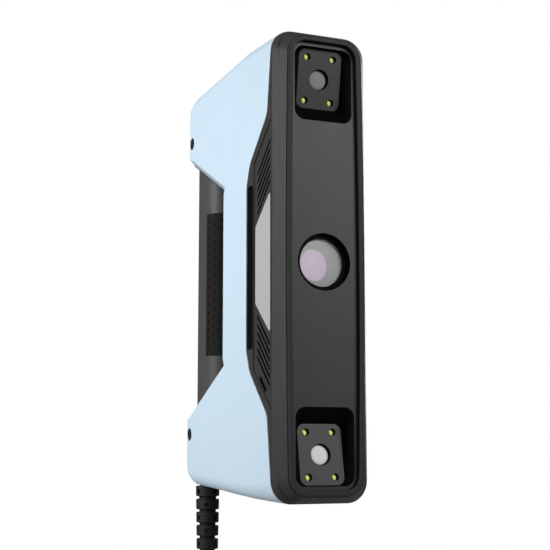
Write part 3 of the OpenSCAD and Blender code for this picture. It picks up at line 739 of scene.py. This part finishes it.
def side_covers():
    cover = form("cover_right", 0)
    common(cover, prism_x("sheet", cover_outline(), 10, 40))
    cut(cover, strip("strip", 0.2))
    cut(cover, form("inside", LIP))
    lean = math.atan(RISE)
    for s in (1, -1):
        ring = []
        for along in (-3, 117):
            ring.append([(x, WAIST_REAR + along * math.cos(lean) - n * math.sin(lean),
                          s * (SHOULDER_Z + along * math.sin(lean) + n * math.cos(lean)))
                         for x, n in ((HALF_W - LIP, 0), (HALF_W + 3, LIP + 3),
                                      (HALF_W + 3, -6), (HALF_W - LIP, -6))])
        cut(cover, loft("wedge", ring))
    chamfer = [(28.5, WAIST_REAR), (32.5, WAIST_REAR - 4),
               (32.5, WAIST_REAR + 1), (28.5, WAIST_REAR + 1)]
    cut(cover, prism_z("waist", chamfer, -SHOULDER_Z - 1, SHOULDER_Z + 1))
    for y, z in SCREW_PLACES:
        cut(cover, cylinder("hole", PLUG_R, (0, y, z), (1, 0, 0), 20, 40, 48))
    soften(cover, 0.45, 30, 3)
    left = mirrored(cover, "cover_left")
    smooth(left, 30)
    dress(cover, "cover_blue", "side_cover_right")
    dress(left, "cover_blue", "side_cover_left")
    cap = [(0, 28.6), (3.9, 28.6), (3.9, 31), (3.7, 31.3), (3.0, 31.3), (2.7, 31.05), (0, 30.95)]
    plugs = [lathe("plug", cap, (0, y, z), (s, 0, 0), 48) for y, z in SCREW_PLACES for s in (1, -1)]
    o = join("screw_plugs", plugs)
    smooth(o, 40)
    dress(o, "soft_rubber", "screw_plugs")


SLOT_PITCH, SLOT_COUNT, BAR_TILT = 4.6, 6, math.radians(46)
VENT_X, VENT_UNDER, BADGE_X, BADGE_UNDER = 0.9, 1.9, 0.3, 0.9


def slot_points(s, k):
    """Slanting vent slot k; s is 1 for the upper row."""
    z = s * k * SLOT_PITCH
    return [(29.9, s * 28.4 + z), (29.9, s * 30.6 + z), (13.6, s * 48.1 + z), (13.6, s * 45.9 + z)]


def vents_and_badges():
    vent = form("vent_right", VENT_X)
    inset = [(11.65, -82.6), (11.65, 82.6), (33.85, 59.9), (33.85, -59.9)]
    common(vent, prism_x("patch", inset, 20, 40))
    cut(vent, form("floor", VENT_UNDER))
    for s in (1, -1):
        for k in range(SLOT_COUNT):
            cut(vent, prism_x("slot", filleted([(y, z, 0.9) for y, z in slot_points(s, k)], 3), 20, 40))
    c, t = math.cos(BAR_TILT), math.sin(BAR_TILT)
    bar = [(22.4 + u * c - v * t, -68.6 + u * t + v * c, 0.9)
           for u, v in ((-5.5, -1.3), (5.5, -1.3), (5.5, 1.3), (-5.5, 1.3))]
    cut(vent, prism_x("bar", filleted(bar, 3), 20, 40))
    soften(vent, 0.2, 32, 2)
    left = mirrored(vent, "vent_left")
    smooth(left, 32)
    for o, word in ((vent, "right"), (left, "left")):
        # Slot walls get near-black painted shade.
        paint(o, (zone_black, painted_shade_black), lambda x, y, z, n: int(
            abs(n.x) < 0.35 and not (abs(n.z) < 0.05 and y < 12.5)))
        dress(o, "shell_black", "vent_" + word, keep=True)
    badge = form("badge_right", BADGE_X)
    quad = [(12.4, -40.6, 1), (12.4, 40.6, 1), (31.4, 22.2, 1), (31.4, -22.2, 1)]
    common(badge, prism_x("patch", filleted(quad, 4), 20, 40))
    cut(badge, form("floor", BADGE_UNDER))
    soften(badge, 0.15, 32, 2)
    left = mirrored(badge, "badge_left")
    smooth(left, 32)
    dress(badge, "badge_grey", "badge_right")
    dress(left, "badge_grey", "badge_left")


# ---------------------------------------------------------------- grip pads, spine and buttons
PAD_T, PAD_HALF_H, PAD_START, PAD_SWEEP = 0.7, 46, 8, 72
DOT_R, DOT_PITCH, DOT_FIRST_Z, DOT_ROWS = 0.95, 5.45, -40.7, 16


def grip_pads():
    cx, cy, r0, r1 = GRIP_W / 2 - GRIP_R, GRIP_FRONT + GRIP_R, GRIP_R, GRIP_R + PAD_T
    angles = [math.radians(PAD_START + PAD_SWEEP * k / 20) for k in range(21)]
    section = [(cx + r * math.sin(a), cy - r * math.cos(a)) for r, order in ((r1, 1), (r0, -1))
               for a in angles[::order]]
    pad = prism_z("grip_pad_right", section, -PAD_HALF_H, PAD_HALF_H)
    dots = []
    for c in range(3):
        # The middle column sits half a pitch higher and has one dot fewer.
        for k in range(DOT_ROWS - (c == 1)):
            a = math.radians(22 + 18 * c + 8)
            z = DOT_FIRST_Z + DOT_PITCH * k + (2.7 if c == 1 else 0)
            dots.append(cylinder("dot", DOT_R, (cx, cy, z), (math.sin(a), -math.cos(a), 0),
                                 r0 + 0.2, r0 + 2, 14))
    cut(pad, join("dots", dots))
    soften(pad, 0.15, 35, 2)
    left = mirrored(pad, "grip_pad_left")
    smooth(left, 35)
    dress(pad, "pad_rubber", "grip_pad_right")
    dress(left, "pad_rubber", "grip_pad_left")


BUTTON_Z, BUTTON_GAP, SCAN_R, SIGN_R = 66.0, 17.5, 7, 5
STATUS_Z = BUTTON_Z + 27


def spine():
    o = prism_y("grip_spine", round_box(SPINE_W, SPINE_H, SPINE_R, 0, SPINE_Z),
                GRIP_BACK - SPINE_T, GRIP_BACK + 0.4)
    for r, z in ((SCAN_R, BUTTON_Z), (SIGN_R, BUTTON_Z + BUTTON_GAP), (SIGN_R, BUTTON_Z - BUTTON_GAP)):
        wide = r + 0.35
        cut(o, lathe("hole", [(0, -12), (wide, -12), (wide, -0.2), (r + 0.9, 0.5), (r + 0.9, 2), (0, 2)],
                     (0, GRIP_BACK, z), (0, 1, 0), 64))
    cut(o, prism_y("slit", round_box(12.3, 2.9, 1.35, 0, STATUS_Z), 140, 152))
    soften(o, 0.3, 32, 2)
    dress(o, "shell_black", "grip_spine")
    window = prism_y("status_window", round_box(12, 2.6, 1.2, 0, STATUS_Z),
                     GRIP_BACK - 4.6, GRIP_BACK + 0.5)
    soften(window, 0.25, 32, 2)
    dress(window, "light_guide", "status_window")


def button(name, r, z, glyph, body):
    """A dished key with a flange; glyph lists the bars of its mark as (width, height)."""
    base = GRIP_BACK - 2.6
    o = lathe(name, [(0, 0), (r + 1, 0), (r + 1, 0.8), (r, 0.8), (r, 3.7), (r - 0.15, 4.0),
                     (r - 0.5, 4.2), (r - 1.0, 4.15), (r * 0.6, 3.85), (0, 3.7)],
              (0, base, z), (0, 1, 0), 64)
    add(o, cylinder("stem", 1.5, (0, base, z), (0, 1, 0), -1.15, 0.1, 24))
    for w, h in glyph:
        cut(o, prism_y("mark", round_box(w, h, 0.35, 0, z, 4), base + 3.45, base + 5))
    smooth(o, 30)
    dress(o, "button_grey", name, body)


# ---------------------------------------------------------------- strain relief, lead and plug
RELIEF_PITCH, RELIEF_RINGS, RELIEF_BORE = 8.3, 5, 3.55


def strain_relief():
    x, y, z0 = RELIEF
    profile = [(RELIEF_BORE, 2.7), (5.0, 2.7), (5.0, 0.05)]
    for i in range(RELIEF_RINGS):
        top = -i * RELIEF_PITCH
        r = 7.6 - 0.16 * i
        neck = 5.6 - 0.2 * i
        profile += [(r - 0.6, top), (r - 0.15, top - 0.2), (r, top - 0.7), (r - 0.1, top - 5.9),
                    (r - 0.25, top - 6.4), (r - 0.7, top - 6.6),
                    (neck, top - 6.7), (neck - 0.1, top - 8.2)]
    end = -RELIEF_RINGS * RELIEF_PITCH
    profile += [(4.6, end), (RELIEF_BORE, end)]
    o = lathe("strain_relief", profile, (x, y, z0), (0, 0, 1), 64)
    for i in range(RELIEF_RINGS):
        for k in range(4):
            a = math.radians(20 + 90 * k + 45 * (i % 2))
            out, side = Vector((math.cos(a), math.sin(a), 0)), Vector((-math.sin(a), math.cos(a), 0))
            middle = Vector((x, y, z0 - i * RELIEF_PITCH - 3.4))
            ring = [[tuple(middle + out * h + side * u * 1.15 + Vector((0, 0, v * 1.15)))
                     for u, v in ((-1, -1), (1, -1), (1, 1), (-1, 1))] for h in (6.1, 9)]
            cut(o, loft("hole", ring))
    smooth(o, 32)
    dress(o, "soft_rubber", "strain_relief")


LEAD, LEAD_EXIT_Z, COIL_R, COIL_Z = 7.0, -171, 38.0, -237.0
COIL_Y = RELIEF[1] - COIL_R - LEAD


def lead_points():
    """Centreline of the lead: down from the relief, eight turns of a coil, then down to the plug."""
    x0, y0 = RELIEF[0], RELIEF[1]
    pts = [(x0, y0, z) for z in range(LEAD_EXIT_Z, int(COIL_Z), -6)]
    cells = [(1, 0), (1, -1), (0, -1), (-1, -1), (-1, 0), (-1, 1), (0, 1), (1, 1)]
    per_turn = 48
    # Angle 0 is the rear-most point; the lead goes down there, forward below and back on top.
    for turn, (ring, row) in enumerate(cells):
        last = turn == len(cells) - 1
        nxt = (2, row) if last else cells[turn + 1]
        for k in range(per_turn):
            a = 360 * k / per_turn
            t = min(1, max(0, (a - 290) / 40))
            t = t * t * (3 - 2 * t)
            r = COIL_R + LEAD * (ring + (nxt[0] - ring) * t)
            x = x0 + LEAD * (row + (nxt[1] - row) * t)
            rad = math.radians(a)
            pts.append((x, COIL_Y + r * math.cos(rad), COIL_Z - r * math.sin(rad)))
    r = COIL_R + 2 * LEAD
    end_x = x0 + LEAD
    pts += [(end_x, COIL_Y + r, COIL_Z - d) for d in (0, 5, 10, 15, 20, 25, 29)]
    return pts


def lead():
    """The cord's piece and the length of its centreline."""
    pts = lead_points()
    curve = bpy.data.curves.new("lead", "CURVE")
    curve.dimensions = "3D"
    curve.bevel_depth = (LEAD / 2 - 0.02) * MM
    curve.bevel_resolution = 6
    curve.use_fill_caps = True
    line = curve.splines.new("POLY")
    line.points.add(len(pts) - 1)
    for p, (x, y, z) in zip(line.points, pts):
        p.co = (*at(x, y, z), 1)
    o = bpy.data.objects.new("lead", curve)
    bpy.context.collection.objects.link(o)
    dress(o, "cord_black", ("lead_tube", "lead_coil"))
    return o, sum((at(*b) - at(*a)).length for a, b in zip(pts, pts[1:]))


def coil_tie():
    y = COIL_Y + COIL_R + 3.5

    def ring(w, h, r, z):
        return [(RELIEF[0] + a, y + b, COIL_Z + z) for a, b in round_box(w, h, r, n=8)]

    inner, outer = (21.4, 29.4, 5.5), (24, 32, 6.5)
    o = loft("coil_tie", [ring(*inner, -6.6), ring(*inner, 6.6), ring(*outer, 7), ring(*outer, -7)],
             closed=True)
    smooth(o, 35)
    return dress(o, "tie_fabric", "coil_tie")


# Height, width, depth and corner radius of the plug's grip, from its mouth up to the boot.
PLUG_SECTIONS = [(-34, 7.0, 14.6, 1.8), (-33.8, 7.8, 15.4, 2.2), (-33.2, 8.3, 15.9, 2.45),
                 (-30, 8.35, 15.95, 2.5), (-11, 8.35, 15.95, 2.5), (-9.4, 8.2, 15.2, 2.5),
                 (-8.4, 7.6, 13.4, 2.5), (-8.0, 7.0, 11.0, 2.5)]


def plug():
    """The plug's grip with its boot, and its metal shell."""
    x, y, top = RELIEF[0], COIL_Y + COIL_R + 14, COIL_Z - 30
    body = []
    for z, w, h, r in PLUG_SECTIONS:
        body.append([(x + a, y + b, top + z) for a, b in round_box(w, h, r, n=8)])
    o = loft("plug_grip", body)
    for s in (1, -1):
        for k in range(5):
            z = top - 15 - 3 * k
            cut(o, box("rib", x + s * 4.2 - 0.35, x + s * 4.2 + 0.35, y - 5, y + 5, z - 0.7, z + 0.7))
    boot = [(0, -8.2), (4.2, -8.2)]
    for k in range(4):
        h = -8.0 + 3.7 * k
        r = 4.15 - 0.06 * k
        boot += [(r, h + 0.3), (r, h + 2.2), (r - 0.35, h + 2.6), (r - 0.4, h + 3.4)]
    boot += [(3.8, 7.2), (0, 7.2)]
    grip = join("plug_sleeve", [o, lathe("boot", boot, (x, y, top), (0, 0, 1), 48)])
    smooth(grip, 32)
    dress(grip, "soft_rubber", "plug_body")
    outer = [[(x + a, y + b, top + z) for a, b in round_box(4.5 - 2 * d, 12 - 2 * d, 0.6, n=4)]
             for z, d in ((-46, 0.15), (-45.8, 0), (-33.8, 0))]
    shell = loft("plug_metal", outer)
    cut(shell, box("mouth", x - 0.05, x + 1.85, y - 5.6, y + 5.6, top - 47, top - 36))
    for b in (-2.9, 2.9):
        cut(shell, box("window", x - 2.5, x - 1.9, y + b - 1.1, y + b + 1.1, top - 42.4, top - 40.2))
    smooth(shell, 32)
    dress(shell, "steel", "plug_shell")
    return grip, shell


bezel()
front_panel()
for side, word in ((1, "upper"), (-1, "lower")):
    camera_set(side, word)
housing()
side_covers()
vents_and_badges()
grip_pads()
spine()
button("button_scan", SCAN_R, BUTTON_Z, [(4.6, 4.6)], "scan_key")
button("button_plus", SIGN_R, BUTTON_Z + BUTTON_GAP, [(4.4, 0.9), (0.9, 4.4)], "plus_key")
button("button_minus", SIGN_R, BUTTON_Z - BUTTON_GAP, [(4.4, 0.9)], "minus_key")
strain_relief()
tie = coil_tie()
plug_pieces = plug()
lead_object, lead_length = lead()

# The nodes that stay as they are, most of them hidden inside, get their finish here.
for name, o in frame["nodes"].items():
    if not o.hide_render:
        o.data.materials.clear()
        o.data.materials.append(FINISH[SLOTS[name]])
        for f in o.data.polygons:
            f.material_index = 0

FLOOR_Z = -340
floor = solid("floor", [(-1500, -1400, FLOOR_Z), (1500, -1400, FLOOR_Z),
                        (1500, 1600, FLOOR_Z), (-1500, 1600, FLOOR_Z)], [(0, 1, 2, 3)])
pale = finish_of("floor", (0.62, 0.62, 0.62), 0.8, grain=300, bump=0.02, vary=0.01, cloud=3)
# The floor glows for the camera alone, so it looks pale without lighting the object from below.
seen = pale.node_tree.nodes.new("ShaderNodeLightPath")
surface = pale.node_tree.nodes["Principled BSDF"]
surface.inputs["Emission Color"].default_value = (0.55, 0.55, 0.55, 1)
pale.node_tree.links.new(seen.outputs["Is Camera Ray"], surface.inputs["Emission Strength"])
floor.data.materials.append(pale)
